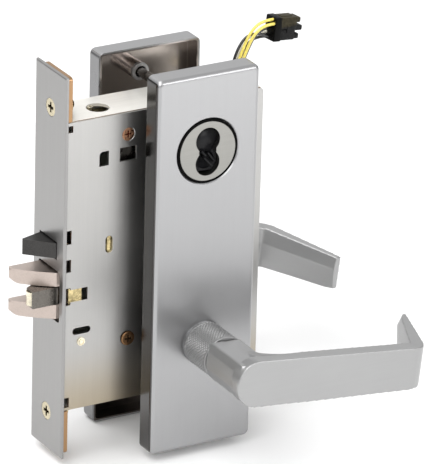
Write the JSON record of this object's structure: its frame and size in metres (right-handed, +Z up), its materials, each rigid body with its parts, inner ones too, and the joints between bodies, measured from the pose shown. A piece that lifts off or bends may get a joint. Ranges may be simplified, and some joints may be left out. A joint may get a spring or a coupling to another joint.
{
  "type": "electrified mortise lockset",
  "caption": "Mortise lock case with sprung latch and guard bolt, faceplate, lever trim on both sides of the door, core cylinder and wired solenoid clutch.",
  "frame": {"origin": "middle of the outer face of the faceplate, on the centre plane of the case", "axes": "+X from the door's edge into the door, +Z up along the faceplate, -Y the outside (keyed) face"},
  "size_m": [0.2124, 0.18, 0.2134],
  "materials": {
    "satin_trim": "satin chrome, fine vertical brushing",
    "satin_lever": "satin chrome, fine brushing along the grip",
    "knurled_collar": "satin chrome, diamond knurl",
    "faceplate": "satin stainless steel",
    "front_plate": "brass-toned plated steel",
    "case_zinc": "matt zinc-plated steel",
    "cover_zinc": "matt zinc-plated steel",
    "brass": "plain brass",
    "copper_screw": "copper-coloured plated screw",
    "bronze_screw": "dark bronze screw",
    "face_screw": "nickel-brass screw",
    "latch_steel": "sintered stainless steel, warm grey",
    "dark_steel": "dark sintered steel",
    "bright_steel": "ground steel",
    "inner_steel": "zinc-plated steel",
    "spring_wire": "spring wire",
    "coil_wrap": "amber coil wrap",
    "switch_case": "black moulded plastic",
    "cylinder_face": "satin chrome",
    "core_black": "black moulded plastic",
    "ring_black": "black",
    "wire_yellow": "yellow insulation",
    "wire_black": "black insulation",
    "wire_white": "white insulation",
    "grommet_rubber": "black rubber",
    "plug_black": "black nylon"
  },
  "bodies": {
    "lock_case": {"faceplate": "faceplate", "faceplate_screws": "face_screw", "inner_front": "front_plate", "screw_lugs": "brass", "case_body": "case_zinc", "case_cover": "cover_zinc", "cover_screw_upper": "copper_screw", "cover_screw_lower": "bronze_screw", "case_posts": "inner_steel", "case_rivets": "bright_steel", "top_stud": "bright_steel", "brass_guides": "brass", "latch_spring": "spring_wire", "bolt_guide": "inner_steel", "guard_spring": "spring_wire", "deadlock_pin": "bright_steel", "solenoid_coil": "coil_wrap", "solenoid_frame": "inner_steel", "plunger_spring": "spring_wire", "coil_leads": "wire_black", "request_switch": "switch_case", "outside_escutcheon": "satin_trim", "inside_escutcheon": "satin_trim", "through_bolts": "inner_steel", "bushings": "satin_trim", "spring_cages": "inner_steel", "return_springs": "spring_wire", "cylinder_housing": "cylinder_face", "core_insert": "core_black", "cylinder_ring": "ring_black", "cylinder_clamp_screw": "inner_steel", "wire_grommet": "grommet_rubber", "lead_yellow_1": "wire_yellow", "lead_yellow_2": "wire_yellow", "lead_black_1": "wire_black", "lead_black_2": "wire_black", "lead_black_3": "wire_black", "lead_white_1": "wire_white", "connector_housing": "plug_black"},
    "latch": {"latch_head": "latch_steel", "latch_tail": "inner_steel", "tongue_pin": "bright_steel"},
    "folding_tongue": {"tongue": "inner_steel", "tongue_roller": "bright_steel"},
    "guard": {"guard_bolt": "dark_steel"},
    "deadlock": {"deadlock_lever": "inner_steel"},
    "outside_handle": {"outside_lever": "satin_lever", "outside_collar": "knurled_collar", "outside_spindle": "inner_steel", "outside_set_screw": "inner_steel", "outside_hub": "inner_steel"},
    "inside_handle": {"inside_lever": "satin_lever", "inside_collar": "knurled_collar", "inside_spindle": "inner_steel", "inside_set_screw": "inner_steel", "inside_hub": "inner_steel"},
    "clutch": {"clutch_ring": "inner_steel"},
    "yoke": {"clutch_yoke": "inner_steel"},
    "solenoid_plunger": {"plunger": "bright_steel"},
    "key_cam": {"cylinder_cam": "brass"}
  },
  "joints": [
    {"name": "outside_lever_turn", "type": "hinge", "parent": "lock_case", "child": "outside_handle", "pos_m": [0.06985, 0, -0.0445], "axis": [0, 1, 0], "range_deg": [0, 45], "stiffness_Nm_per_rad": 1.2, "springref_deg": -28.65},
    {"name": "inside_lever_turn", "type": "hinge", "parent": "lock_case", "child": "inside_handle", "pos_m": [0.06985, 0, -0.0445], "axis": [0, 1, 0], "range_deg": [0, 45], "stiffness_Nm_per_rad": 1.2, "springref_deg": -28.65},
    {"name": "latch_slide", "type": "slide", "parent": "lock_case", "child": "latch", "axis": [1, 0, 0], "range_m": [0, 0.0178], "deforming": ["latch_spring"]},
    {"name": "tongue_fold", "type": "hinge", "parent": "latch", "child": "folding_tongue", "pos_m": [0.0015, -0.004, -0.0155], "axis": [0, 0, 1], "range_deg": [-40, 0], "stiffness_Nm_per_rad": 0.01, "springref_deg": 28.65},
    {"name": "guard_press", "type": "slide", "parent": "lock_case", "child": "guard", "axis": [-1, 0, 0], "range_m": [-0.0115, 0], "stiffness_N_per_m": 120, "springref_m": 0.008, "deforming": ["guard_spring"]},
    {"name": "deadlock_drop", "type": "hinge", "parent": "lock_case", "child": "deadlock", "pos_m": [0.058, 0.0065, 0.002], "axis": [0, 1, 0], "range_deg": [0, 9.5]},
    {"name": "solenoid_pull", "type": "slide", "parent": "lock_case", "child": "solenoid_plunger", "axis": [0, 0, 1], "range_m": [0, 0.0052], "stiffness_N_per_m": 150, "springref_m": -0.008, "deforming": ["plunger_spring"]},
    {"name": "yoke_shift", "type": "slide", "parent": "lock_case", "child": "yoke", "axis": [0, 1, 0], "range_m": [0, 0.0026]},
    {"name": "clutch_shift", "type": "slide", "parent": "outside_handle", "child": "clutch", "axis": [0, 1, 0], "range_m": [0, 0.0026]},
    {"name": "key_cam_turn", "type": "hinge", "parent": "lock_case", "child": "key_cam", "pos_m": [0.06985, 0, 0.0517], "axis": [0, 1, 0], "continuous": true}
  ],
  "couplings": [
    {"joint": "latch_slide", "follows": "inside_lever_turn", "m_per_rad": 0.02266},
    {"joint": "deadlock_drop", "follows": "guard_press", "rad_per_m": -13.96},
    {"joint": "yoke_shift", "follows": "solenoid_pull", "ratio": 0.5},
    {"joint": "clutch_shift", "follows": "solenoid_pull", "ratio": 0.5}
  ]
}
